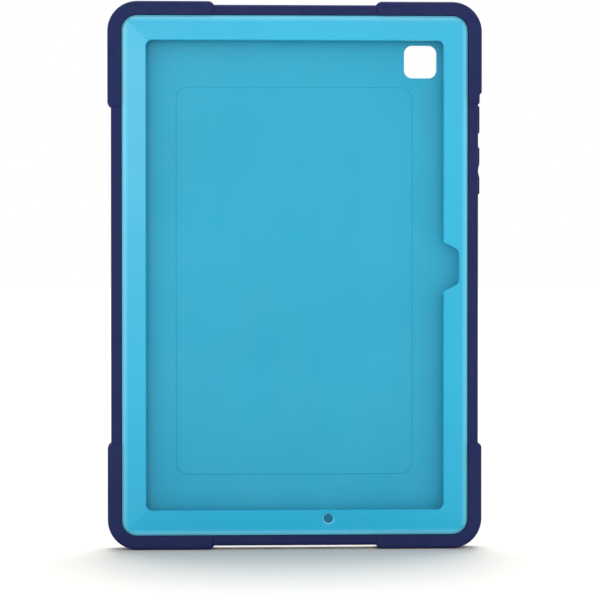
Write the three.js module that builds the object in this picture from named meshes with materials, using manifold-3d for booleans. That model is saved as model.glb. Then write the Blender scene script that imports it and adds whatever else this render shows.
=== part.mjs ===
// Rugged three-layer tablet case: a hard rear shell that holds the tablet, a hard front frame
// round its screen, and a thick silicone skin with raised corner bumpers over both.
// A kickstand folds out of the back, and two silicone pads cover the tablet's side keys.
//
// Millimetres. +Z is up with the case standing in portrait, the screen side faces -Y, and the
// origin is under the middle of the bottom edge.
import * as THREE from "three";
import { mergeVertices } from "three/addons/utils/BufferGeometryUtils.js";
import Module from "manifold-3d";

const wasm = await Module();
wasm.setup();

// ---- Driving dimensions ----------------------------------------------------------------
const TABLET = { width: 161.9, height: 246.8, thickness: 6.9 };
const WIDTH = 183; // over the corner bumpers
const HEIGHT = 267.5;
const DEPTH = 16;
const GAP = 0.3; // between pieces that touch
const MID_Z = HEIGHT / 2;
const SMOOTH = 7; // segments in a quarter circle

// ---- Depths, from the screen side (-Y) to the back (+Y) ---------------------------------
const FRONT = -DEPTH / 2; // the corner bumpers' front and back faces
const BACK = DEPTH / 2;
const SIDE_LIP_Y = FRONT + 0.8; // the skin's front lip between the bumpers
const FACE_Y = FRONT + 0.6; // the front frame's visible face
const GLASS_Y = FACE_Y + 2; // underside of the frame, just off the tablet's glass
const SEAT_Y = GLASS_Y + TABLET.thickness + 0.2; // the land that the tablet lies on
const FLOOR_Y = SEAT_Y + 0.3; // the shell's floor round that land
const SHELL_Y = FLOOR_Y + 1.7; // the shell's outer face
const SKIN_IN_Y = SHELL_Y + GAP;
const SKIN_Y = SKIN_IN_Y + 2.4; // the skin's back between its raised pads
const KEY_Y = GLASS_Y + 0.1 + TABLET.thickness / 2; // middle of the tablet's edge

// ---- Outlines, seen from the front -------------------------------------------------------
const STEP = 1.7; // how far the bumpers stand out past the sides
const BAY = { width: TABLET.width + 0.6, height: TABLET.height + 0.6, radius: 4.5 };
const SHELL = grown(BAY, 1.6);
const FRAME = { width: 169.1, height: 253.8, radius: 7.45 };
const SKIRT_IN = grown(SHELL, GAP);
const CAVITY = grown(FRAME, GAP);
const SIDES = { width: WIDTH - 2 * STEP, height: HEIGHT - 2 * STEP, radius: 12.9 };
const BUMPERS = { width: WIDTH, height: HEIGHT, radius: 14.6 };
const WINDOW = { width: 145.4, height: 229.4, radius: 3 };

// ---- Kickstand ----------------------------------------------------------------------------
const HINGE = { x: 4.5, y: SHELL_Y + 2.2, barrel: 1.9, bore: 1, pin: 0.9 };
const LEG = { tipX: -73.5, hingeHalf: 50.4, tipHalf: 39, thickness: 2.3 };
const EAR = { length: 3, offset: 1.4 }; // the offset leaves room for the friction washer
const FOOT = { half: 24, width: 3.6 };

// ---- Keys on the right edge: height of the middle, and length ------------------------------
const POWER = { z: 210.05, length: 13.7, stem: 9 };
const VOLUME = { z: 185, length: 23.3, stem: 19 };
const KEY = { width: 4.9, proud: 0.88, stemWidth: 3.2, stemEndX: 81.9, travel: 0.6 };

// ---- Openings -------------------------------------------------------------------------------
const CAMERA = { x: 62, z: 238.5, size: 18, radius: 5 };
const USB = { width: 14, height: 7.6 };
const SPEAKER = { x: 27, width: 22, height: 3.2 };
const JACK = { x: -66, radius: 3.9 };
const SENSOR = { x: 16.3, z: 14.95, radius: 2.3, dish: 3.7 };

// ---- Colours --------------------------------------------------------------------------------
const CYAN = new THREE.MeshStandardMaterial({ color: 0x3cbee1, roughness: 0.42, metalness: 0 });
const NAVY = new THREE.MeshStandardMaterial({ color: 0x2d3264, roughness: 0.7, metalness: 0 });
const STEEL = new THREE.MeshStandardMaterial({ color: 0xb9bcc0, roughness: 0.3, metalness: 1 });
const NYLON = new THREE.MeshStandardMaterial({ color: 0xe8e6df, roughness: 0.5, metalness: 0 });

// ---- Outline helpers ------------------------------------------------------------------------
function grown(outline, by) {
  return {
    width: outline.width + 2 * by,
    height: outline.height + 2 * by,
    radius: outline.radius + by,
  };
}

function roundedRect({ width, height, radius }, cx = 0, cy = MID_Z) {
  const [left, right] = [cx - width / 2, cx + width / 2];
  const [low, high] = [cy - height / 2, cy + height / 2];
  const shape = new THREE.Shape();
  shape.moveTo(left + radius, low);
  shape.absarc(right - radius, low + radius, radius, -Math.PI / 2, 0);
  shape.absarc(right - radius, high - radius, radius, 0, Math.PI / 2);
  shape.absarc(left + radius, high - radius, radius, Math.PI / 2, Math.PI);
  shape.absarc(left + radius, low + radius, radius, Math.PI, 1.5 * Math.PI);
  return shape;
}

function polygon(points) {
  return new THREE.Shape(points.map(([x, y]) => new THREE.Vector2(x, y)));
}

// ---- Solid helpers --------------------------------------------------------------------------
function solid(geometry) {
  geometry.deleteAttribute("normal");
  geometry.deleteAttribute("uv");
  const merged = mergeVertices(geometry, 1e-4);
  return new wasm.Manifold(
    new wasm.Mesh({
      numProp: 3,
      vertProperties: new Float32Array(merged.attributes.position.array),
      triVerts: new Uint32Array(merged.index.array),
    }),
  );
}

// Each plane says where a shape's own x and y point, and then the way it is extruded.
const AXIS = {
  x: new THREE.Vector3(1, 0, 0),
  y: new THREE.Vector3(0, 1, 0),
  z: new THREE.Vector3(0, 0, 1),
};
const FRONT_PLANE = [AXIS.x, AXIS.z, AXIS.y.clone().negate()];
const SIDE_PLANE = [AXIS.y, AXIS.z, AXIS.x];
const END_PLANE = [AXIS.x, AXIS.y, AXIS.z];

// A shape extruded between two places on the plane's third axis. round = [inwards, along] rounds
// both ends, and a negative inwards flares them, for a cutter that leaves a rounded edge.
function extrude(shape, plane, from, to, round = [0, 0]) {
  const [inwards, along] = round;
  const geometry = new THREE.ExtrudeGeometry(shape, {
    depth: Math.abs(to - from) - 2 * along,
    curveSegments: SMOOTH,
    bevelEnabled: along > 0,
    bevelThickness: along,
    bevelSize: inwards,
    bevelOffset: -inwards,
    bevelSegments: 3,
  });
  geometry.translate(0, 0, along);
  geometry.applyMatrix4(new THREE.Matrix4().makeBasis(...plane));
  const start = plane === FRONT_PLANE ? Math.max(from, to) : Math.min(from, to);
  const along3 = plane[2].clone().set(...plane[2].toArray().map(Math.abs));
  geometry.translate(...along3.multiplyScalar(start).toArray());
  return solid(geometry);
}

function plate(shape, yFront, yBack, round) {
  return extrude(shape, FRONT_PLANE, yFront, yBack, round);
}

function block([x0, x1], [y0, y1], [z0, z1]) {
  const geometry = new THREE.BoxGeometry(x1 - x0, y1 - y0, z1 - z0);
  geometry.translate((x0 + x1) / 2, (y0 + y1) / 2, (z0 + z1) / 2);
  return solid(geometry);
}

// A round bar along Z at a place in plan.
function barZ(radius, x, y, z0, z1, sides = 24) {
  const geometry = new THREE.CylinderGeometry(radius, radius, z1 - z0, sides);
  geometry.rotateX(Math.PI / 2);
  geometry.translate(x, y, (z0 + z1) / 2);
  return solid(geometry);
}

function joined(solids) {
  return solids.reduce((whole, next) => whole.add(next));
}

function cut(body, cutters) {
  return cutters.reduce((left, cutter) => left.subtract(cutter), body);
}

function node(name, body, material) {
  const { vertProperties, triVerts } = body.getMesh();
  const geometry = new THREE.BufferGeometry();
  geometry.setAttribute("position", new THREE.BufferAttribute(vertProperties, 3));
  geometry.setIndex(new THREE.BufferAttribute(triVerts, 1));
  geometry.computeVertexNormals();
  const mesh = new THREE.Mesh(geometry, material);
  mesh.name = name;
  return mesh;
}

// ---- Openings shared by the layers ----------------------------------------------------------
// The ports' cutters for one layer, each smaller than the skin's by the given inset.
function portCutters(inset) {
  const slot = (x, width, height, z0, z1) => {
    const size = { width: width - 2 * inset, height: height - 2 * inset };
    const radius = size.height / 2 - 0.01;
    return extrude(roundedRect({ ...size, radius }, x, KEY_Y), END_PLANE, z0, z1);
  };
  const edge = 14; // deep enough to pass every layer of one edge
  const ends = [
    [-1, edge],
    [HEIGHT - edge, HEIGHT + 1],
  ];
  const speakers = ends.flatMap(([z0, z1]) =>
    [-1, 1].map((side) =>
      slot(side * SPEAKER.x, SPEAKER.width, SPEAKER.height + inset, z0, z1),
    ),
  );
  return [
    slot(0, USB.width, USB.height, -1, edge),
    barZ(JACK.radius - inset, JACK.x, KEY_Y, -1, edge),
    ...speakers,
  ];
}

// The opening in a hard wall for a key pad's stem, from a place in depth to another.
function stemCutter(key, yFront, yBack) {
  const half = key.stem / 2 + 0.7;
  return block([BAY.width / 2 - 1, CAVITY.width / 2], [yFront, yBack], [key.z - half, key.z + half]);
}

// ---- Rear shell -----------------------------------------------------------------------------
const RIB = { length: 10, depth: 0.8, play: 0.3 }; // the frame's locating ribs
const RIB_PLACES = {
  sides: [60, 133.75], // heights on the left and right walls
  ends: [-60, 0, 60], // places along the top wall; the bottom has its ports between the outer two
};

// Blocks for the ribs or, grown by their play, for the pockets that they slide in.
function ribBlocks(play, yFront, yBack) {
  const half = RIB.length / 2 + play;
  const inner = RIB.depth + play;
  const [wallX, wallZ] = [SHELL.width / 2 + GAP, SHELL.height / 2 + GAP];
  const depth = [yFront, yBack];
  const blocks = [];
  for (const z of RIB_PLACES.sides) {
    blocks.push(block([wallX - inner, wallX + 0.1], depth, [z - half, z + half]));
    blocks.push(block([-wallX - 0.1, -wallX + inner], depth, [z - half, z + half]));
  }
  for (const x of RIB_PLACES.ends) {
    blocks.push(block([x - half, x + half], depth, [MID_Z + wallZ - inner, MID_Z + wallZ + 0.1]));
    if (x === RIB_PLACES.ends[2])
      blocks.push(block([x - half, x + half], depth, [MID_Z - wallZ - 0.1, MID_Z - wallZ + inner]));
  }
  return blocks;
}

// A hinge ear: a foot on the shell's back under a round end about the hinge's axis.
function ear(z0) {
  const { x, y, barrel } = HINGE;
  const shape = new THREE.Shape();
  shape.moveTo(x - barrel - 1.2, SHELL_Y - 0.5);
  shape.lineTo(x + barrel + 1.2, SHELL_Y - 0.5);
  shape.lineTo(x + barrel, y);
  shape.absarc(x, y, barrel, 0, Math.PI);
  return extrude(shape, END_PLANE, z0, z0 + EAR.length);
}

const EAR_LOW_Z = MID_Z - LEG.hingeHalf - EAR.offset - EAR.length;
const EAR_HIGH_Z = MID_Z + LEG.hingeHalf + EAR.offset;

function rearShell() {
  const wallTop = GLASS_Y + GAP;
  const tray = plate(roundedRect(SHELL), wallTop, SHELL_Y, [0, 0]);
  const bay = plate(roundedRect(BAY), wallTop - 1, FLOOR_Y);
  const land = plate(roundedRect({ width: 116, height: 190, radius: 6 }, 0, 131), SEAT_Y, FLOOR_Y + 0.5);
  const camera = roundedRect(
    { width: CAMERA.size - 2, height: CAMERA.size - 2, radius: CAMERA.radius - 1 },
    CAMERA.x,
    CAMERA.z,
  );
  const ears = joined([ear(EAR_LOW_Z), ear(EAR_HIGH_Z)]);
  const pinHoles = barZ(HINGE.bore, HINGE.x, HINGE.y, EAR_LOW_Z - 1, EAR_HIGH_Z + EAR.length + 1);
  const body = joined([tray.subtract(bay), land, ears.subtract(pinHoles)]);
  const keyOpening = [KEY_Y - 2.2, KEY_Y + 2.2];
  return cut(body, [
    plate(camera, SEAT_Y - 1, SHELL_Y + 1),
    ...portCutters(0.75),
    stemCutter(POWER, ...keyOpening),
    stemCutter(VOLUME, ...keyOpening),
    ...ribBlocks(RIB.play, wallTop - 1, GLASS_Y + 3.8),
  ]);
}

// ---- Front frame ------------------------------------------------------------------------------
const SKIRT_Y = GLASS_Y + 3.5; // the back end of the skirt that slides over the shell's wall

// The screen window with the notch for the tablet's front camera and light sensor.
function windowShape() {
  const [right, floor] = [WINDOW.width / 2, WINDOW.width / 2 + 7.8];
  const notch = { z: MID_Z + 3.95, mouth: 12.15, floor: 8.25, round: 3 };
  const { radius } = WINDOW;
  const [low, high] = [MID_Z - WINDOW.height / 2, MID_Z + WINDOW.height / 2];
  const slope = (notch.mouth - notch.floor) / (floor - right);
  const shape = new THREE.Shape();
  shape.moveTo(radius - right, low);
  shape.absarc(right - radius, low + radius, radius, -Math.PI / 2, 0);
  shape.lineTo(right, notch.z - notch.mouth);
  shape.lineTo(floor - notch.round, notch.z - notch.floor - notch.round * slope);
  shape.quadraticCurveTo(floor, notch.z - notch.floor, floor, notch.z - notch.floor + notch.round);
  shape.lineTo(floor, notch.z + notch.floor - notch.round);
  shape.quadraticCurveTo(
    floor,
    notch.z + notch.floor,
    floor - notch.round,
    notch.z + notch.floor + notch.round * slope,
  );
  shape.lineTo(right, notch.z + notch.mouth);
  shape.absarc(right - radius, high - radius, radius, 0, Math.PI / 2);
  shape.absarc(radius - right, high - radius, radius, Math.PI / 2, Math.PI);
  shape.absarc(radius - right, low + radius, radius, Math.PI, 1.5 * Math.PI);
  return shape;
}

// The sensor hole, opening into a shallow dish at the face.
function sensorCutter() {
  const hole = new THREE.CylinderGeometry(SENSOR.radius, SENSOR.radius, 6, 24);
  const dish = new THREE.CylinderGeometry(SENSOR.radius, SENSOR.dish + 0.5, 1.1, 24);
  dish.translate(0, -0.05, 0);
  return joined(
    [hole, dish].map((geometry) => solid(geometry.translate(SENSOR.x, FACE_Y, SENSOR.z))),
  );
}

function frontFrame() {
  const face = plate(roundedRect(FRAME), FACE_Y, SKIRT_Y, [1.2, 0.9]);
  const skirt = plate(roundedRect(FRAME), GLASS_Y - 0.5, SKIRT_Y);
  const inside = plate(roundedRect(SKIRT_IN), GLASS_Y, SKIRT_Y + 1);
  const screen = plate(windowShape(), FACE_Y - 0.01, GLASS_Y + 3, [-0.7, 0.7]);
  const body = joined([face, skirt]).subtract(inside);
  const ribs = ribBlocks(0, GLASS_Y - 0.3, SKIRT_Y);
  const keyOpening = [KEY_Y - 2.2, SKIRT_Y + 1];
  return cut(joined([body, ...ribs]), [
    screen,
    sensorCutter(),
    stemCutter(POWER, ...keyOpening),
    stemCutter(VOLUME, ...keyOpening),
    ...portCutters(0.75).map((cutter) =>
      cutter.intersect(block([-WIDTH, WIDTH], [GLASS_Y, BACK], [-2, HEIGHT + 2])),
    ),
  ]);
}

// ---- Silicone skin ----------------------------------------------------------------------------
const ARM = { length: 50.3, width: 16, gusset: 8 }; // a bumper's two arms and its inner corner

// One bumper's plan: arms along both edges with ends sloped down to the sides' level. right and
// top are +1 or -1, and each arm runs inwards from its corner.
function bumperPlan(right, top) {
  const { length, width, gusset } = ARM;
  const points = [
    [-1, -1],
    [length - 1, -1],
    [length + STEP, STEP],
    [length + STEP, width],
    [width + gusset, width],
    [width, width + gusset],
    [width, length + STEP],
    [STEP, length + STEP],
    [-1, length - 1],
  ];
  return polygon(points.map(([u, v]) => [right * (WIDTH / 2 - u), MID_Z + top * (HEIGHT / 2 - v)]));
}

// The window in the skin's back for the kickstand, with a scoop for a finger at the leg's tip.
function kickstandWindow() {
  const [hingeX, tipX] = [HINGE.x + 4.5, LEG.tipX - 3.5];
  const [low, high] = [EAR_LOW_Z - 1.7, EAR_HIGH_Z + EAR.length + 1.7];
  const [radius, scoop] = [6, 7];
  const half = 14;
  const shape = new THREE.Shape();
  shape.moveTo(tipX + radius, low);
  shape.absarc(hingeX - radius, low + radius, radius, -Math.PI / 2, 0);
  shape.absarc(hingeX - radius, high - radius, radius, 0, Math.PI / 2);
  shape.absarc(tipX + radius, high - radius, radius, Math.PI / 2, Math.PI);
  shape.lineTo(tipX, MID_Z + half);
  shape.bezierCurveTo(
    tipX - scoop, MID_Z + half, tipX - scoop, MID_Z - half, tipX, MID_Z - half,
  );
  shape.absarc(tipX + radius, low + radius, radius, Math.PI, 1.5 * Math.PI);
  return shape;
}

// The pad's opening through the skin's right wall, with play all round.
function padOpening(key) {
  const play = 0.35;
  const size = { width: KEY.width + 2 * play, height: key.length + 2 * play, radius: 2.2 };
  return extrude(roundedRect(size, KEY_Y, key.z), SIDE_PLANE, CAVITY.width / 2 - 2.5, WIDTH / 2 + 1);
}

// Beside the power key the bumper is lower, and it ends short of the key's pad.
function bumperRelief() {
  const sideX = SIDES.width / 2;
  const lowX = sideX + 0.75;
  return plate(
    polygon([
      [sideX, 200],
      [sideX, 217.6],
      [lowX, 217.9],
      [lowX, 221.9],
      [lowX + 2, 223.9],
      [lowX + 2, 200],
    ]),
    FRONT - 1,
    BACK + 1,
  );
}

function outerSkin() {
  const sidesFront = plate(roundedRect(SIDES), SIDE_LIP_Y, SKIN_Y - 1, [1.8, 1.8]);
  const sidesBack = plate(roundedRect(SIDES), 0, SKIN_Y, [2.4, 2]);
  const bumperSlab = plate(roundedRect(BUMPERS), FRONT, BACK, [1.9, 1.9]);
  const corners = [-1, 1].flatMap((right) =>
    [-1, 1].map((top) => plate(bumperPlan(right, top), FRONT - 1, BACK + 1)),
  );
  const bumpers = bumperSlab.intersect(joined(corners)).subtract(bumperRelief());
  const camera = roundedRect(
    { width: CAMERA.size, height: CAMERA.size, radius: CAMERA.radius },
    CAMERA.x,
    CAMERA.z,
  );
  const ledgeY = SKIRT_Y + GAP;
  return cut(joined([sidesFront, sidesBack, bumpers]), [
    plate(roundedRect(CAVITY), FRONT - 1, ledgeY),
    plate(roundedRect(SKIRT_IN), ledgeY - 1, SKIN_IN_Y),
    plate(kickstandWindow(), SKIN_IN_Y - 1, SKIN_Y + 0.01, [-0.8, 0.8]),
    plate(camera, SKIN_IN_Y - 1, SKIN_Y + 0.01, [-0.8, 0.8]),
    ...portCutters(0),
    padOpening(POWER),
    padOpening(VOLUME),
  ]);
}

// ---- Key pads -----------------------------------------------------------------------------------
// A pad's head fills its opening in the skin, and its stem reaches through the hard walls to
// just off the tablet's key.
function padSolid(key) {
  const headInX = FRAME.width / 2 + KEY.travel + 0.1;
  const outX = SIDES.width / 2 + KEY.proud;
  const head = extrude(
    roundedRect({ width: KEY.width, height: key.length, radius: 1.9 }, KEY_Y, key.z),
    SIDE_PLANE,
    headInX - 0.8,
    outX,
    [0.7, 0.8],
  );
  const stem = roundedRect({ width: KEY.stemWidth, height: key.stem, radius: 0.8 }, KEY_Y, key.z);
  const shoulder = block([headInX - 2, headInX], [FRONT, BACK], [key.z - 20, key.z + 20]);
  return head.subtract(shoulder).add(extrude(stem, SIDE_PLANE, KEY.stemEndX, headInX + 1));
}

// The rocker's waist: a smooth valley between its two ends, cut across the pad.
function waistCutter() {
  const [half, deep, steps] = [4.3, 0.78, 10];
  const outX = SIDES.width / 2 + KEY.proud;
  const valley = Array.from({ length: steps + 1 }, (_, i) => {
    const t = -1 + (2 * i) / steps;
    return [outX - (deep * (1 + Math.cos(Math.PI * t))) / 2, VOLUME.z + half * t];
  });
  return plate(polygon([...valley, [outX + 2, VOLUME.z + half], [outX + 2, VOLUME.z - half]]), FRONT, BACK);
}

// ---- Kickstand ------------------------------------------------------------------------------------
function legShape() {
  const { tipX, hingeHalf, tipHalf } = LEG;
  const corner = 12;
  const shape = new THREE.Shape();
  shape.moveTo(HINGE.x, MID_Z - hingeHalf);
  shape.lineTo(HINGE.x, MID_Z + hingeHalf);
  shape.lineTo(HINGE.x - 12, MID_Z + hingeHalf);
  shape.lineTo(tipX + corner, MID_Z + tipHalf + 2);
  shape.quadraticCurveTo(tipX, MID_Z + tipHalf, tipX, MID_Z + tipHalf - corner);
  shape.lineTo(tipX, MID_Z - tipHalf + corner);
  shape.quadraticCurveTo(tipX, MID_Z - tipHalf, tipX + corner, MID_Z - tipHalf - 2);
  shape.lineTo(HINGE.x - 12, MID_Z - hingeHalf);
  return shape;
}

function kickstandLeg() {
  const { x, y, barrel, bore } = HINGE;
  const [low, high] = [MID_Z - LEG.hingeHalf, MID_Z + LEG.hingeHalf];
  const legY = SKIN_Y - LEG.thickness;
  const panel = roundedRect({ width: 44, height: 62, radius: 6 }, -36, MID_Z);
  const footRoom = block(
    [LEG.tipX - 1, LEG.tipX + FOOT.width + GAP],
    [legY - 1, SKIN_Y + 1],
    [MID_Z - FOOT.half - GAP, MID_Z + FOOT.half + GAP],
  );
  return cut(plate(legShape(), legY, SKIN_Y, [0.4, 0.4]).add(barZ(barrel, x, y, low, high)), [
    plate(panel, SKIN_Y - 0.6, SKIN_Y + 1),
    barZ(bore, x, y, low - 1, low + 11),
    barZ(bore, x, y, high - 11, high + 1),
    footRoom,
  ]);
}

function kickstandFoot() {
  const size = { width: FOOT.width, height: 2 * FOOT.half, radius: 0.8 };
  const shape = roundedRect(size, LEG.tipX + FOOT.width / 2, MID_Z);
  return plate(shape, SKIN_Y - LEG.thickness - 0.1, SKIN_Y + 0.1, [0.4, 0.4]);
}

// ---- Assembly -----------------------------------------------------------------------------------
const hingeAt = (z0, z1, radius) => barZ(radius, HINGE.x, HINGE.y, z0, z1);
const washer = (z0) => hingeAt(z0, z0 + 0.8, 1.75).subtract(hingeAt(z0 - 1, z0 + 2, HINGE.bore));
const PIN_LENGTH = EAR.length + EAR.offset + 10;

const tabletCase = new THREE.Group();
tabletCase.add(
  node("rear_shell", rearShell(), CYAN),
  node("outer_skin", outerSkin(), NAVY),
  node("front_frame", frontFrame(), CYAN),
  node("power_button_pad", padSolid(POWER), NAVY),
  node("volume_rocker_pad", padSolid(VOLUME).subtract(waistCutter()), NAVY),
  node("kickstand_leg", kickstandLeg(), CYAN),
  node("kickstand_foot", kickstandFoot(), NAVY),
  node("hinge_pin_lower", hingeAt(EAR_LOW_Z, EAR_LOW_Z + PIN_LENGTH, HINGE.pin), STEEL),
  node(
    "hinge_pin_upper",
    hingeAt(EAR_HIGH_Z + EAR.length - PIN_LENGTH, EAR_HIGH_Z + EAR.length, HINGE.pin),
    STEEL,
  ),
  node("hinge_washer_lower", washer(EAR_LOW_Z + EAR.length + GAP), NYLON),
  node("hinge_washer_upper", washer(EAR_HIGH_Z - GAP - 0.8), NYLON),
);

export default tabletCase;
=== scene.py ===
"""A rugged tablet case: hard shell, hard front frame, silicone skin, key pads and a kickstand.

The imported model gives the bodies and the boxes. Each visible piece is rebuilt here as a fine mesh
with rounded edges and a procedural material. Solids are in millimetres until they are finished. The
camera, the lights and the materials are in metres.
"""

import math

import bmesh
import bpy
from mathutils import Matrix, Vector


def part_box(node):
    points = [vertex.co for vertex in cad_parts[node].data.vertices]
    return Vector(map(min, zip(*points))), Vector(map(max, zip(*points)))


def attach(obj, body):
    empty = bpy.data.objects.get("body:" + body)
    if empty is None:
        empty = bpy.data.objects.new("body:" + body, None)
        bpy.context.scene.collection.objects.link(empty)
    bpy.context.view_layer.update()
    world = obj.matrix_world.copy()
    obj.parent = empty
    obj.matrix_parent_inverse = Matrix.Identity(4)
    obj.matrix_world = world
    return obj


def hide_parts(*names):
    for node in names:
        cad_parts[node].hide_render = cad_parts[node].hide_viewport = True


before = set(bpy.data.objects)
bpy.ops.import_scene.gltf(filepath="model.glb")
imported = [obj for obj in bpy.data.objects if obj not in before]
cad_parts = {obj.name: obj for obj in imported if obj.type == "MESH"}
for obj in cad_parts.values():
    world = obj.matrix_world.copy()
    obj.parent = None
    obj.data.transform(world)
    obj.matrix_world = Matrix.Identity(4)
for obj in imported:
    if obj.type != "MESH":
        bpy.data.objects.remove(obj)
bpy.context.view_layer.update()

MM = 0.001
GAP = 0.3  # between layers

# ---- Sizes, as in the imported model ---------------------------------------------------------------
def in_mm(corners):
    return [tuple(c / MM for c in corner) for corner in corners]


skin_low, skin_high = in_mm(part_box("outer_skin"))
frame_low, frame_high = in_mm(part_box("front_frame"))
leg_low = in_mm(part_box("kickstand_leg"))[0]
foot_low, foot_high = in_mm(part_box("kickstand_foot"))

WIDTH = skin_high[0] - skin_low[0]
HEIGHT = skin_high[2]
MID_Z = HEIGHT / 2
FRONT, BACK = skin_low[1], skin_high[1]
STEP = 1.7  # the bumpers stand out past the sides by this
SIDE_LIP_Y = FRONT + 0.8
FACE_Y = frame_low[1]
SKIRT_Y = frame_high[1]
GLASS_Y = FACE_Y + 2
SEAT_Y = GLASS_Y + 7.1
FLOOR_Y = SEAT_Y + 0.3
SHELL_Y = FLOOR_Y + 1.7
SKIN_IN_Y = SHELL_Y + GAP
SKIN_Y = SKIN_IN_Y + 2.4
KEY_Y = GLASS_Y + 3.55


def grown(size, by):
    """A (width, height, corner radius) made larger all round."""
    width, height, radius = size
    return (width + 2 * by, height + 2 * by, radius + by)


BAY = (162.5, 247.4, 4.5)
SHELL = grown(BAY, 1.6)
FRAME = (frame_high[0] - frame_low[0], frame_high[2] - frame_low[2], 7.45)
SKIRT_IN = grown(SHELL, GAP)
CAVITY = grown(FRAME, GAP)
SIDES = (WIDTH - 2 * STEP, HEIGHT - 2 * STEP, 12.9)
WINDOW = (145.4, 229.4)
CAMERA = {"x": 62, "z": 238.5, "size": 18, "radius": 5}
SENSOR = {"x": 16.3, "z": 14.95, "radius": 2.3, "dish": 3.7}
POWER = {"node": "power_button_pad", "z": 210.05, "length": 13.7, "stem": 9}
VOLUME = {"node": "volume_rocker_pad", "z": 185, "length": 23.3, "stem": 19}
HINGE = {"x": 4.5, "y": SHELL_Y + 2.2, "barrel": 1.9, "bore": 1}
LAND = {"size": (116, 190, 6), "z": 131}  # the raised seat in the tray
PORT_INSET = 0.75  # the hard layers' ports are smaller than the skin's by this
PAD_SLOT = 0.35  # round each key pad
STEM_WAY = 2.2  # half the way for a key's stem, front to back


# ---- Camera: nearly level, a little to the left, far enough back for little perspective ----------
def make_camera():
    distance, yaw, height = 1.5, math.radians(2.9), 0.16
    view_height = 0.2943  # how much of the object's plane the picture takes in
    aim_right, aim_height = 0.0027, 0.1356
    data = bpy.data.cameras.new("camera")
    data.sensor_width = 36
    data.lens = data.sensor_width * distance / view_height
    data.shift_y = -0.0475  # looks lower while the camera stays nearly level
    camera = bpy.data.objects.new("camera", data)
    bpy.context.scene.collection.objects.link(camera)
    forward = Vector((math.sin(yaw), math.cos(yaw), 0))
    right = Vector((math.cos(yaw), -math.sin(yaw), 0))
    target = right * aim_right + Vector((0, 0, aim_height))
    camera.location = target - forward * distance
    camera.location.z = height
    camera.rotation_mode = "QUATERNION"
    camera.rotation_quaternion = (target - camera.location).to_track_quat("-Z", "Y")
    bpy.context.scene.camera = camera


make_camera()


# ---- Outlines ------------------------------------------------------------------------------------
def filleted(corners, segments=10):
    """A closed outline from (x, y, radius) corners, each rounded by an arc of its radius."""
    outline = []
    count = len(corners)
    for i, (x, y, radius) in enumerate(corners):
        here = Vector((x, y))
        before = (Vector(corners[i - 1][:2]) - here).normalized()
        after = (Vector(corners[(i + 1) % count][:2]) - here).normalized()
        if radius <= 0:
            outline.append(here)
            continue
        half = before.angle(after) / 2
        centre = here + (before + after).normalized() * (radius / math.sin(half))
        reach = radius / math.tan(half)
        start, end = here + before * reach - centre, here + after * reach - centre
        turn = start.angle_signed(end)
        steps = max(2, math.ceil(segments * abs(turn) / (math.pi / 2)))
        for k in range(steps + 1):
            cos, sin = math.cos(-turn * k / steps), math.sin(-turn * k / steps)
            spoke = Vector((start.x * cos - start.y * sin, start.x * sin + start.y * cos))
            outline.append(centre + spoke)
    return outline


def rounded_rect(size, cx=0, cy=None, segments=16):
    cy = MID_Z if cy is None else cy
    width, height, radius = size
    x, y = width / 2, height / 2
    corners = [(-x, -y), (x, -y), (x, y), (-x, y)]
    return filleted([(cx + a, cy + b, radius) for a, b in corners], segments)


def circle(radius, cx, cy, segments=40):
    turns = [2 * math.pi * i / segments for i in range(segments)]
    return [Vector((cx + radius * math.cos(t), cy + radius * math.sin(t))) for t in turns]


def quarter_turn(steps=6):
    return [math.pi / 2 * k / steps for k in range(steps + 1)]


def inset(outline, by):
    """The outline moved inwards by a distance, with mitred corners."""
    count = len(outline)
    area = sum(a.x * b.y - b.x * a.y for a, b in zip(outline, outline[1:] + outline[:1]))
    inwards = 1 if area > 0 else -1
    moved = []
    for i, point in enumerate(outline):
        edges = [point - outline[i - 1], outline[(i + 1) % count] - point]
        normals = [Vector((-e.y, e.x)).normalized() * inwards for e in edges if e.length > 1e-7]
        normal = sum(normals, Vector((0, 0))).normalized()
        moved.append(point + normal * (by / max(0.35, normal.dot(normals[0]))))
    return moved


# ---- Solids --------------------------------------------------------------------------------------
# A plane turns an outline's (a, b) and a depth into a place in the object's axes.
PLANES = {
    "front": lambda a, b, depth: (a, depth, b),
    "side": lambda a, b, depth: (depth, a, b),
    "end": lambda a, b, depth: (a, b, depth),
}


def new_object(name, mesh):
    obj = bpy.data.objects.new(name, mesh)
    bpy.context.scene.collection.objects.link(obj)
    return obj


def solid(name, outline, rings, plane="front"):
    """A closed solid: the outline repeated at each (depth, inset) ring, with both ends capped."""
    bm = bmesh.new()
    loops = []
    for depth, by in rings:
        points = inset(outline, by) if by else outline
        places = (PLANES[plane](p.x, p.y, depth) for p in points)
        loops.append([bm.verts.new(place) for place in places])
    for low, high in zip(loops, loops[1:]):
        for i in range(len(low)):
            j = (i + 1) % len(low)
            bm.faces.new((low[i], low[j], high[j], high[i]))
    bm.faces.new(loops[0])
    bm.faces.new(loops[-1])
    bmesh.ops.remove_doubles(bm, verts=bm.verts, dist=1e-4)
    bmesh.ops.recalc_face_normals(bm, faces=bm.faces)
    mesh = bpy.data.meshes.new(name)
    bm.to_mesh(mesh)
    bm.free()
    return new_object(name, mesh)


def rounding(start, end, at_start=(0, 0), at_end=(0, 0), steps=6):
    """Rings from one depth to another with each end rounded by (inwards, along)."""
    rings = []
    for k in range(steps + 1):
        t = math.pi / 2 * (1 - k / steps)
        inwards, along = at_start
        rings.append((start + along * (1 - math.sin(t)), inwards * (1 - math.cos(t))))
    for k in range(steps + 1):
        t = math.pi / 2 * k / steps
        inwards, along = at_end
        rings.append((end - along * (1 - math.sin(t)), inwards * (1 - math.cos(t))))
    kept = [rings[0]]
    for ring in rings[1:]:
        if math.dist(ring, kept[-1]) > 1e-4:
            kept.append(ring)
    return kept


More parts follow.
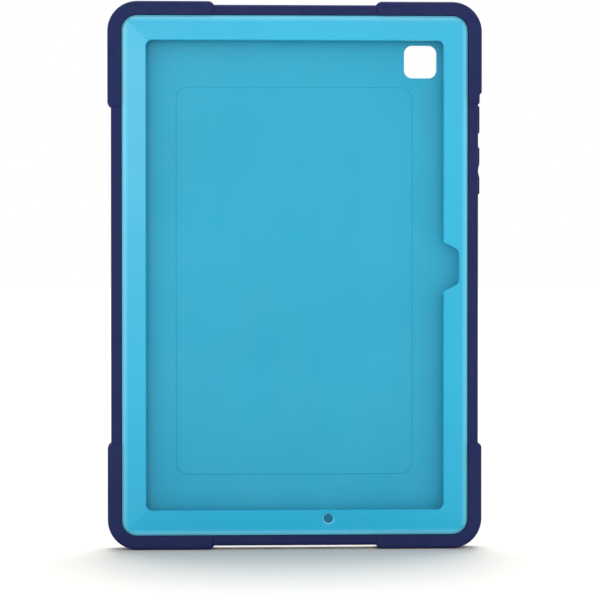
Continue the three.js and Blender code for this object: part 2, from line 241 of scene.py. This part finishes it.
def block(name, xs, ys, zs):
    """A plain box, for cutting and joining."""
    x0, x1 = xs
    z0, z1 = zs
    outline = [Vector(p) for p in ((x0, z0), (x1, z0), (x1, z1), (x0, z1))]
    return solid(name, outline, [(ys[0], 0), (ys[1], 0)])


def bar_z(name, radius, x, y, z0, z1):
    return solid(name, circle(radius, x, y), [(z0, 0), (z1, 0)], "end")


def combine(body, others, operation):
    """Joins, cuts or intersects the body with each of the others, which are used up."""
    for other in others:
        modifier = body.modifiers.new("combine", "BOOLEAN")
        modifier.operation = operation
        modifier.solver = "EXACT"
        modifier.object = other
        evaluated = body.evaluated_get(bpy.context.evaluated_depsgraph_get())
        mesh = bpy.data.meshes.new_from_object(evaluated)
        body.modifiers.clear()
        old, body.data = body.data, mesh
        bpy.data.meshes.remove(old)
        used = other.data
        bpy.data.objects.remove(other)
        bpy.data.meshes.remove(used)
    return body


def joined(body, *others):
    return combine(body, others, "UNION")


def cut(body, *others):
    return combine(body, others, "DIFFERENCE")


def only(body, other):
    return combine(body, [other], "INTERSECT")


# ---- Materials -----------------------------------------------------------------------------------
def srgb(r, g, b):
    """A colour given in 0 to 255, as linear light."""
    linear = [(c / 255 / 12.92) if c <= 10 else ((c / 255 + 0.055) / 1.055) ** 2.4 for c in (r, g, b)]
    return (*linear, 1)


class Nodes:
    """A material's node tree, with short calls for what the looks below share."""

    def __init__(self, name):
        self.material = bpy.data.materials.new(name)
        self.material.use_nodes = True
        self.tree = self.material.node_tree
        self.shader = self.tree.nodes["Principled BSDF"]
        self.place = self.tree.nodes.new("ShaderNodeTexCoord").outputs["Object"]

    def link(self, source, target):
        self.tree.links.new(source, target)

    def noise(self, scale, detail=2.0, roughness=0.5, stretch=(1, 1, 1)):
        mapping = self.tree.nodes.new("ShaderNodeMapping")
        mapping.inputs["Scale"].default_value = stretch
        self.link(self.place, mapping.inputs["Vector"])
        noise = self.tree.nodes.new("ShaderNodeTexNoise")
        noise.inputs["Scale"].default_value = scale
        noise.inputs["Detail"].default_value = detail
        noise.inputs["Roughness"].default_value = roughness
        self.link(mapping.outputs["Vector"], noise.inputs["Vector"])
        return noise.outputs["Fac"]

    def spread(self, value, low, high, to_low, to_high):
        node = self.tree.nodes.new("ShaderNodeMapRange")
        for key, number in (
            ("From Min", low), ("From Max", high), ("To Min", to_low), ("To Max", to_high),
        ):
            node.inputs[key].default_value = number
        self.link(value, node.inputs["Value"])
        return node.outputs["Result"]

    def mix(self, factor, first, second):
        """Two colours, or two colour outputs, mixed by a factor."""
        node = self.tree.nodes.new("ShaderNodeMix")
        node.data_type = "RGBA"
        self.link(factor, node.inputs["Factor"])
        colours = [socket for socket in node.inputs if socket.type == "RGBA"]
        for socket, colour in zip(colours, (first, second)):
            if isinstance(colour, tuple):
                socket.default_value = colour
            else:
                self.link(colour, socket)
        return next(socket for socket in node.outputs if socket.type == "RGBA")

    def bump(self, height, distance, strength, below=None):
        node = self.tree.nodes.new("ShaderNodeBump")
        node.inputs["Distance"].default_value = distance
        node.inputs["Strength"].default_value = strength
        self.link(height, node.inputs["Height"])
        if below is not None:
            self.link(below, node.inputs["Normal"])
        return node.outputs["Normal"]

    def band(self, axis, low, high, soft):
        """1 between two places along an axis, in metres, fading to 0 over a soft length."""
        split = self.tree.nodes.new("ShaderNodeSeparateXYZ")
        self.link(self.place, split.inputs["Vector"])
        both = self.tree.nodes.new("ShaderNodeMath")
        both.operation = "MULTIPLY"
        self.link(self.spread(split.outputs[axis], low - soft, low, 0, 1), both.inputs[0])
        self.link(self.spread(split.outputs[axis], high, high + soft, 1, 0), both.inputs[1])
        return both.outputs["Value"]


def silicone(name, colour, dusty, lint_and_painted_highlight):
    """Matt moulded silicone: a fine stipple, faint flow marks, and a little lint on its surface."""
    n = Nodes(name)
    flow = n.mix(n.spread(n.noise(22, 3), 0.35, 0.65, 0, 0.5), colour, dusty)
    lint = n.spread(n.noise(1500, 4, 0.75), 0.72, 0.78, 0, 0.35)
    n.link(n.mix(lint, flow, lint_and_painted_highlight), n.shader.inputs["Base Color"])
    n.link(n.spread(n.noise(140, 3), 0.3, 0.7, 0.56, 0.7), n.shader.inputs["Roughness"])
    stipple = n.bump(n.noise(2600, 2, 0.6), 0.00006, 0.45)
    n.link(n.bump(n.noise(60, 2), 0.0002, 0.08, stipple), n.shader.inputs["Normal"])
    n.shader.inputs["Specular IOR Level"].default_value = 0.2
    n.shader.inputs["Sheen Weight"].default_value = 0.01
    n.shader.inputs["Sheen Roughness"].default_value = 0.5
    return n.material


def polycarbonate(name, colour, shade, pale, roughness=(0.2, 0.28), grain=0.3, lint_and_painted_highlight=None):
    """Satin moulded plastic with a fine spark-eroded grain, and a painted highlight: paler in a band of
    depths along its rounded edges.
    """
    n = Nodes(name)
    flow = n.mix(n.spread(n.noise(14, 3), 0.35, 0.65, 0, 0.6), colour, shade)
    flecks = n.mix(n.spread(n.noise(1900, 3, 0.7), 0.62, 0.75, 0, 0.22), flow, pale)
    # painted highlight: the colour goes towards pale in the given band of depths, where the rounded edges
    # are
    if lint_and_painted_highlight:
        flecks = n.mix(n.spread(n.band("Y", *lint_and_painted_highlight), 0, 1, 0, 0.6), flecks, pale)
    n.link(flecks, n.shader.inputs["Base Color"])
    smudges = n.noise(45, 4, 0.6, (1, 1, 0.5))
    n.link(n.spread(smudges, 0.3, 0.7, *roughness), n.shader.inputs["Roughness"])
    n.link(n.bump(n.noise(2200, 3, 0.65), 0.00005, grain), n.shader.inputs["Normal"])
    n.shader.inputs["Specular IOR Level"].default_value = 0.38
    return n.material


def steel(name):
    """Drawn stainless wire, with fine scratches along its length."""
    n = Nodes(name)
    streaks = n.noise(900, 3, 0.6, (1, 1, 0.03))
    n.link(n.mix(streaks, srgb(176, 179, 184), srgb(205, 207, 210)), n.shader.inputs["Base Color"])
    n.link(n.spread(streaks, 0.3, 0.7, 0.22, 0.4), n.shader.inputs["Roughness"])
    n.link(n.bump(streaks, 0.00002, 0.2), n.shader.inputs["Normal"])
    n.shader.inputs["Metallic"].default_value = 1
    return n.material


def nylon(name):
    n = Nodes(name)
    n.link(n.mix(n.noise(300, 3), srgb(226, 223, 212), srgb(240, 238, 230)), n.shader.inputs["Base Color"])
    n.link(n.spread(n.noise(700, 2), 0.3, 0.7, 0.4, 0.55), n.shader.inputs["Roughness"])
    n.link(n.bump(n.noise(3000, 2), 0.00002, 0.2), n.shader.inputs["Normal"])
    return n.material


SKIN = silicone("skin_silicone", srgb(16, 28, 76), srgb(20, 32, 82), srgb(60, 72, 124))
PAD = silicone("pad_silicone", srgb(16, 28, 76), srgb(20, 32, 82), srgb(64, 76, 128))
FOOT = silicone("foot_rubber", srgb(18, 25, 58), srgb(24, 31, 68), srgb(70, 78, 118))
# the depths at which the frame's rounded outer edge and window rim are painted paler as a painted
# highlight, and how softly that fades
PAINTED_HIGHLIGHT_DEPTHS = ((FACE_Y + 0.52) * MM, (FACE_Y + 1.0) * MM, 0.15 * MM)
CYAN = polycarbonate(
    "frame_plastic", srgb(2, 164, 202), srgb(6, 170, 208), srgb(150, 222, 242), lint_and_painted_highlight=PAINTED_HIGHLIGHT_DEPTHS
)
TRAY = polycarbonate(
    "shell_plastic", srgb(8, 154, 188), srgb(14, 160, 195), srgb(120, 202, 226), (0.42, 0.54), 0.4
)
STEEL = steel("pin_steel")
NYLON = nylon("washer_nylon")


def smooth(mesh, limit=math.radians(34), wide=3):
    """Smooth shading over turns under the limit, led by the largest faces.

    A face wider than the given width is flat, and keeps its own normal.
    """
    faces = [(p.normal.copy(), p.area**2) for p in mesh.polygons]
    around = [[] for _ in mesh.vertices]
    for polygon in mesh.polygons:
        polygon.use_smooth = True
        for vertex in polygon.vertices:
            around[vertex].append(faces[polygon.index])
    turn = math.cos(limit)
    normals = []
    for polygon in mesh.polygons:
        own = polygon.normal
        ends = ([mesh.vertices[i].co for i in pair] for pair in polygon.edge_keys)
        if polygon.area > wide * max((a - b).length for a, b in ends):
            normals += [own.copy() for _ in polygon.vertices]
            continue
        for vertex in polygon.vertices:
            near = (normal * weight for normal, weight in around[vertex] if normal.dot(own) > turn)
            total = sum(near, Vector((0, 0, 0)))
            normals.append(total.normalized() if total.length > 0 else own.copy())
    mesh.normals_split_custom_set(normals)


def finished(piece, material, slot, body, *nodes):
    """Smooths a piece, scales it to metres, dresses it and hands it to its CAD body."""
    smooth(piece.data)
    piece.data.transform(Matrix.Scale(MM, 4))
    piece.data.materials.clear()
    piece.data.materials.append(material)
    for polygon in piece.data.polygons:
        polygon.material_index = 0
    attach(piece, body)
    if nodes:
        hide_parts(*nodes)
    return piece


# ---- Openings shared by the layers ---------------------------------------------------------------
def port_cutters(by):
    """Cutters for the ports on the two short edges, smaller than the skin's by an inset.

    The four speaker slots lose half of it in height.
    """
    deep, jack_x, speaker_x = 14, -66, 27

    def slot(x, width, height, z0, z1):
        size = (width - 2 * by, height - 2 * by, (height - 2 * by) / 2 - 0.02)
        return solid("port", rounded_rect(size, x, KEY_Y), [(z0, 0), (z1, 0)], "end")

    cutters = [slot(0, 14, 7.6, -1, deep), bar_z("jack", 3.9 - by, jack_x, KEY_Y, -1, deep)]
    for z0, z1 in ((-1, deep), (HEIGHT - deep, HEIGHT + 1)):
        cutters += [slot(side * speaker_x, 22, 3.2 + by, z0, z1) for side in (-1, 1)]
    return cutters


def stem_cutter(key, y0, y1):
    """The way for a key's stem through the walls of the hard layers."""
    half = key["stem"] / 2 + 0.7
    walls = (BAY[0] / 2 - 1, CAVITY[0] / 2)
    return block("stem_way", walls, (y0, y1), (key["z"] - half, key["z"] + half))


def rib_blocks(play, y0, y1):
    """The ribs that locate the frame in the shell, or with play their pockets."""
    half, inner, lap = 5 + play, 0.8 + play, 0.1
    side_places = (60, 133.75)
    wall_x, wall_z = SHELL[0] / 2 + GAP, SHELL[1] / 2 + GAP
    blocks = []
    for z in side_places:
        for side in (-1, 1):
            xs = sorted((side * (wall_x - inner), side * (wall_x + lap)))
            blocks.append(block("rib", xs, (y0, y1), (z - half, z + half)))
    top = (MID_Z + wall_z - inner, MID_Z + wall_z + lap)
    low = (MID_Z - wall_z - lap, MID_Z - wall_z + inner)
    for x, zs in ((-60, top), (0, top), (60, top), (60, low)):
        blocks.append(block("rib", (x - half, x + half), (y0, y1), zs))
    return blocks


def camera_outline(smaller=0):
    size = CAMERA["size"] - 2 * smaller
    return rounded_rect((size, size, CAMERA["radius"] - smaller), CAMERA["x"], CAMERA["z"])


# ---- Rear shell ----------------------------------------------------------------------------------
LEG_HALF, TIP_HALF, TIP_X = 50.4, 39, leg_low[0]
EAR_LOW_Z, EAR_HIGH_Z, EAR_LENGTH = MID_Z - 54.8, MID_Z + 51.8, 3


def ear(z0):
    """One of the two ears on the shell's back that hold the hinge pins."""
    x, y, r = HINGE["x"], HINGE["y"], HINGE["barrel"]
    foot = [Vector((x - r - 1.2, SHELL_Y - 0.5)), Vector((x + r + 1.2, SHELL_Y - 0.5))]
    half_turn = [math.pi * k / 16 for k in range(17)]
    top = [Vector((x + r * math.cos(t), y + r * math.sin(t))) for t in half_turn]
    rings = rounding(z0, z0 + EAR_LENGTH, (0.25, 0.25), (0.25, 0.25), 3)
    return solid("ear", foot + top, rings, "end")


def make_shell():
    wall_top = GLASS_Y + GAP
    walls = rounding(wall_top, SHELL_Y, (0.35, 0.35), (0.3, 0.3), 3)
    body = solid("rear_shell_fine", rounded_rect(SHELL), walls)
    room = rounding(wall_top - 1, FLOOR_Y, (0, 0), (0.7, 0.7), 4)
    cut(body, solid("bay", rounded_rect(BAY), room))
    rise = rounding(SEAT_Y, FLOOR_Y + 0.5, (0.25, 0.25), (0, 0), 3)
    land = solid("land", rounded_rect(LAND["size"], 0, LAND["z"]), rise)
    joined(body, land, ear(EAR_LOW_Z), ear(EAR_HIGH_Z))
    bore_ends = (EAR_LOW_Z - 1, EAR_HIGH_Z + EAR_LENGTH + 1)
    cut(
        body,
        bar_z("bore", HINGE["bore"], HINGE["x"], HINGE["y"], *bore_ends),
        solid("camera", camera_outline(1), [(SEAT_Y - 1, 0), (SHELL_Y + 1, 0)]),
        *port_cutters(PORT_INSET),
        stem_cutter(POWER, KEY_Y - STEM_WAY, KEY_Y + STEM_WAY),
        stem_cutter(VOLUME, KEY_Y - STEM_WAY, KEY_Y + STEM_WAY),
        *rib_blocks(0.3, wall_top - 1, GLASS_Y + 3.8),
    )
    finished(body, TRAY, "shell_plastic", "case_body", "rear_shell")


# ---- Front frame ---------------------------------------------------------------------------------
def window_outline():
    """The screen window, with the notch for the tablet's front camera in its right side."""
    right, half_height = WINDOW[0] / 2, WINDOW[1] / 2
    low, high = MID_Z - half_height, MID_Z + half_height
    floor, middle, mouth, flat = right + 7.8, MID_Z + 4.15, 11.95, 8.1
    return filleted(
        [
            (-right, low, 3),
            (right, low, 3),
            (right, middle - mouth, 0.8),
            (floor, middle - flat, 3.6),
            (floor, middle + flat, 3.6),
            (right, middle + mouth, 0.8),
            (right, high, 3),
            (-right, high, 3),
        ]
    )


def make_frame():
    face_rings = [(SKIRT_Y, 0), (FACE_Y + 1.15, 0)]
    for t in quarter_turn()[1:]:
        face_rings.append((FACE_Y + 0.45 + 0.7 * math.cos(t), 0.9 * math.sin(t) ** 2))
    face_rings += [(FACE_Y + 0.3, 1.3), (FACE_Y + 0.16, 1.8), (FACE_Y + 0.05, 2.4), (FACE_Y, 3.1)]
    body = solid("front_frame_fine", rounded_rect(FRAME, segments=20), face_rings)
    # each bar leans back a little towards its outer edge, with a mitre at the corners
    x, z, lean = FRAME[0] / 2, FRAME[1] / 2, 0.53
    corners = [Vector((a * x, MID_Z + b * z)) for a, b in ((-1, -1), (1, -1), (1, 1), (-1, 1))]
    slope = [(SKIRT_Y + 1, -1), (FACE_Y + lean, -1), (FACE_Y, 12.6), (FACE_Y - 0.001, 12.61)]
    only(body, solid("slope", corners, slope))
    cut(body, solid("inside", rounded_rect(SKIRT_IN), [(GLASS_Y, 0), (SKIRT_Y + 1, 0)]))
    joined(body, *rib_blocks(0, GLASS_Y - 0.3, SKIRT_Y))
    rim = [(FACE_Y - 1, -0.85)] + [
        (FACE_Y + 0.75 * (1 - math.cos(t)), -0.5 * (1 - math.sin(t)))
        for t in quarter_turn()
    ]
    window = solid("window", window_outline(), rim + [(GLASS_Y + 3, 0)])
    dish_width = SENSOR["dish"] - SENSOR["radius"]
    dish = [
        (FACE_Y - 1, -dish_width - 0.25),
        (FACE_Y + 0.02, -dish_width),
        (FACE_Y + 0.2, -0.95),
        (FACE_Y + 0.42, -0.45),
        (FACE_Y + 0.7, -0.08),
        (FACE_Y + 1, 0),
        (FACE_Y + 3, 0),
    ]
    sensor = solid("sensor", circle(SENSOR["radius"], SENSOR["x"], SENSOR["z"]), dish)
    behind_face = block("behind_face", (-WIDTH, WIDTH), (GLASS_Y, BACK), (-2, HEIGHT + 2))
    ports = joined(*port_cutters(PORT_INSET))
    only(ports, behind_face)
    cut(
        body,
        window,
        sensor,
        ports,
        stem_cutter(POWER, KEY_Y - STEM_WAY, SKIRT_Y + 1),
        stem_cutter(VOLUME, KEY_Y - STEM_WAY, SKIRT_Y + 1),
    )
    finished(body, CYAN, "frame_plastic", "front_frame", "front_frame")


# ---- Silicone skin -------------------------------------------------------------------------------
ARM = {"length": 50.3, "width": 16, "gusset": 8}


def bumper(right, top):
    """One corner bumper: two arms with sloped, rounded ends, rounded along every edge."""
    length, width, gusset = ARM["length"], ARM["width"], ARM["gusset"]
    side = length - (1.8 if right > 0 and top > 0 else 0)  # one stops short of the power key
    corners = [
        (0, 0, 14.6),
        (length, 0, 2.9),
        (length + STEP, STEP, 2.4),
        (length + STEP, width, 3),
        (width + gusset, width, 4),
        (width, width + gusset, 4),
        (width, side + STEP, 3),
        (STEP, side + STEP, 2.4),
        (0, side, 2.9),
    ]
    placed = [(right * (WIDTH / 2 - u), MID_Z + top * (HEIGHT / 2 - v), r) for u, v, r in corners]
    return solid("bumper", filleted(placed, 12), rounding(FRONT, BACK, (1.6, 1.6), (1.6, 1.6)))


def kickstand_window():
    """The opening over the folded kickstand, with a scoop beside its tip for a fingernail."""
    left, right = TIP_X - 3.5, HINGE["x"] + 4.5
    low, high = EAR_LOW_Z - 1.7, EAR_HIGH_Z + EAR_LENGTH + 1.7
    scoop, half = 5.25, 14
    return filleted(
        [
            (left, low, 6),
            (right, low, 6),
            (right, high, 6),
            (left, high, 6),
            (left, MID_Z + half, 2.5),
            (left - scoop, MID_Z + half - 5, 5),
            (left - scoop, MID_Z - half + 5, 5),
            (left, MID_Z - half, 2.5),
        ]
    )


def pad_opening(key):
    low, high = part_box(key["node"])
    width, length = (high.y - low.y) / MM + 2 * PAD_SLOT, key["length"] + 2 * PAD_SLOT
    outline = rounded_rect((width, length, 2.2), KEY_Y, key["z"])
    inner, outer = CAVITY[0] / 2 - 2.5, SIDES[0] / 2
    rings = [(inner, 0), (outer - 0.35, 0), (outer + 0.02, -0.3), (outer + 3, -0.3)]
    return solid("pad_way", outline, rings, "side")


def flared(outline, y0, y1, flare):
    """A cutter that leaves a rounded edge of that size where it comes out at y1."""
    edge = [(y1 - flare * (1 - math.sin(t)), -flare * (1 - math.cos(t))) for t in quarter_turn()]
    return solid("flared", outline, [(y0, 0), *edge, (y1 + 0.6, -flare)])


def make_skin():
    body = solid(
        "outer_skin_fine",
        rounded_rect(SIDES, segments=24),
        rounding(SIDE_LIP_Y, SKIN_Y, (1.6, 1.6), (2.4, 2)),
    )
    joined(body, *[bumper(right, top) for right in (-1, 1) for top in (-1, 1)])
    side_x = SIDES[0] / 2 + 0.01  # just off the side, so that no two faces coincide
    # takes the bumper's end back from the power key, and leaves a ledge 0.5 mm out
    relief = [
        (side_x, 200, 0), (side_x, 217.3, 0), (side_x + 0.5, 217.6, 0.2),
        (side_x + 0.5, 222.1, 0.6), (side_x + 2.5, 224.1, 0), (side_x + 2.5, 200, 0),
    ]
    ledge_y = SKIRT_Y + GAP
    cut(
        body,
        solid("relief", filleted(relief), [(FRONT - 1, 0), (BACK + 1, 0)]),
        solid("cavity_front", rounded_rect(CAVITY, segments=20), [(FRONT - 1, 0), (ledge_y, 0)]),
        solid("cavity", rounded_rect(SKIRT_IN), [(ledge_y - 1, 0), (SKIN_IN_Y, 0)]),
        flared(kickstand_window(), SKIN_IN_Y - 1, SKIN_Y, 0.8),
        flared(camera_outline(), SKIN_IN_Y - 1, SKIN_Y, 0.8),
        *port_cutters(0),
        pad_opening(POWER),
        pad_opening(VOLUME),
    )
    finished(body, SKIN, "skin_silicone", "case_body", "outer_skin")


# ---- Key pads ------------------------------------------------------------------------------------
def make_pad(key, body_name):
    """A key pad with its stem. The volume pad has a waist between its two ends."""
    low, high = in_mm(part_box(key["node"]))
    head_x, stem_x, outer_x = FRAME[0] / 2 + 0.7, low[0], high[0]
    outline = rounded_rect((high[1] - low[1], key["length"], 1.9), KEY_Y, key["z"])
    pad = solid(key["node"] + "_fine", outline, rounding(head_x, outer_x, (0, 0), (0.6, 0.6)), "side")
    stem = rounded_rect((3.2, key["stem"], 0.8), KEY_Y, key["z"])
    joined(pad, solid("stem", stem, rounding(stem_x, head_x + 1, (0.3, 0.3)), "side"))
    if key is VOLUME:
        half, deep, steps = 4.3, 0.78, 24
        valley = []
        for k in range(steps + 1):
            t = -1 + 2 * k / steps
            valley.append(Vector((outer_x - deep * (1 + math.cos(math.pi * t)) / 2, key["z"] + half * t)))
        valley += [Vector((outer_x + 2, key["z"] + half)), Vector((outer_x + 2, key["z"] - half))]
        cut(pad, solid("waist", valley, [(FRONT, 0), (BACK, 0)]))
    finished(pad, PAD, "skin_silicone", body_name, key["node"])


# ---- Kickstand -----------------------------------------------------------------------------------
def make_leg():
    leg_y, x, bore_depth = SKIN_Y - 2.3, HINGE["x"], 11
    low, high = MID_Z - LEG_HALF, MID_Z + LEG_HALF
    outline = filleted(
        [
            (x, low, 0),
            (x, high, 0),
            (x - 12, high, 6),
            (TIP_X, MID_Z + TIP_HALF, 11),
            (TIP_X, MID_Z - TIP_HALF, 11),
            (x - 12, low, 6),
        ]
    )
    slab = rounding(leg_y, SKIN_Y, (0.35, 0.35), (0.55, 0.55), 4)
    body = solid("kickstand_leg_fine", outline, slab)
    barrel_rings = rounding(low, high, (0.25, 0.25), (0.25, 0.25), 3)
    joined(body, solid("barrel", circle(HINGE["barrel"], x, HINGE["y"]), barrel_rings, "end"))
    panel = rounded_rect((44, 62, 6), -36, MID_Z)  # a shallow sunken panel
    sunk = [(SKIN_Y - 0.6, 0.5), (SKIN_Y - 0.45, 0.12), (SKIN_Y + 0.01, 0), (SKIN_Y + 1, 0)]
    foot_x = (TIP_X - 1, foot_high[0] + GAP)
    foot_z = (foot_low[2] - GAP, foot_high[2] + GAP)
    cut(
        body,
        solid("panel", panel, sunk),
        bar_z("bore_low", HINGE["bore"], x, HINGE["y"], low - 1, low + bore_depth),
        bar_z("bore_high", HINGE["bore"], x, HINGE["y"], high - bore_depth, high + 1),
        block("foot_room", foot_x, (leg_y - 1, SKIN_Y + 1), foot_z),
    )
    finished(body, TRAY, "shell_plastic", "kickstand", "kickstand_leg")


def make_foot():
    """The silicone strip along the leg's tip, with shallow grooves across it for grip."""
    width, length = foot_high[0] - foot_low[0], foot_high[2] - foot_low[2]
    centre = (foot_low[0] + foot_high[0]) / 2
    rings = rounding(foot_low[1], foot_high[1], (0.45, 0.45), (0.45, 0.45), 4)
    body = solid("kickstand_foot_fine", rounded_rect((width, length, 0.8), centre), rings)
    grooves, count, pitch = [], 15, 2.9
    for k in range(count):
        z = MID_Z + (k - count // 2) * pitch
        profile = rounded_rect((1.1, 0.8, 0.39), foot_low[0], z)
        grooves.append(solid("groove", profile, [(foot_low[1] - 1, 0), (foot_high[1] + 1, 0)]))
    cut(body, *grooves)
    finished(body, FOOT, "foot_rubber", "kickstand", "kickstand_foot")


def dress_hardware():
    """The pins and washers keep their CAD shapes and get their finish."""
    for node, material in (
        ("hinge_pin_lower", STEEL),
        ("hinge_pin_upper", STEEL),
        ("hinge_washer_lower", NYLON),
        ("hinge_washer_upper", NYLON),
    ):
        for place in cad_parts[node].material_slots:
            place.material = material


make_shell()
make_frame()
make_skin()
make_pad(POWER, "power_button")
make_pad(VOLUME, "volume_rocker")
make_leg()
make_foot()
dress_hardware()


# ---- Floor, light and background -----------------------------------------------------------------
def make_floor():
    n = Nodes("floor_white")
    n.link(n.mix(n.noise(3, 2), srgb(214, 210, 205), srgb(217, 213, 208)), n.shader.inputs["Base Color"])
    n.shader.inputs["Roughness"].default_value = 0.6
    mesh = bpy.data.meshes.new("floor")
    bm = bmesh.new()
    bmesh.ops.create_grid(bm, x_segments=8, y_segments=8, size=6)
    bm.to_mesh(mesh)
    bm.free()
    floor = new_object("floor", mesh)
    floor.location.z = -0.0002  # just under the base, so that the two don't coincide
    floor.data.materials.append(n.material)


def area_light(name, place, aim, size, watts):
    data = bpy.data.lights.new(name, "AREA")
    data.shape = "RECTANGLE"
    data.size, data.size_y = size
    data.energy = watts
    light = new_object(name, data)
    light.visible_camera = False
    light.location = place
    light.rotation_mode = "QUATERNION"
    light.rotation_quaternion = (Vector(aim) - Vector(place)).to_track_quat("-Z", "Y")


def soft_sun(name, towards, strength, spread):
    """A soft light from far away, so that it is even over the whole floor."""
    data = bpy.data.lights.new(name, "SUN")
    data.energy = strength
    data.angle = math.radians(spread)
    light = new_object(name, data)
    light.rotation_mode = "QUATERNION"
    light.rotation_quaternion = Vector(towards).to_track_quat("-Z", "Y")


def make_world():
    world = bpy.data.worlds.new("studio")
    world.use_nodes = True
    background = world.node_tree.nodes["Background"]
    background.inputs["Color"].default_value = (1, 1, 1, 1)
    background.inputs["Strength"].default_value = 1.0
    bpy.context.scene.world = world
    bpy.context.scene.view_settings.view_transform = "Standard"


make_floor()
make_world()
area_light("key_left", (-0.42, -2.1, 0.34), (0, 0, 0.2), (0.36, 0.34), 3)
soft_sun("back_top", (-0.05, -0.42, -1), 2.3, 36)
soft_sun("front_fill", (0.1, 1, -0.03), 0.72, 50)
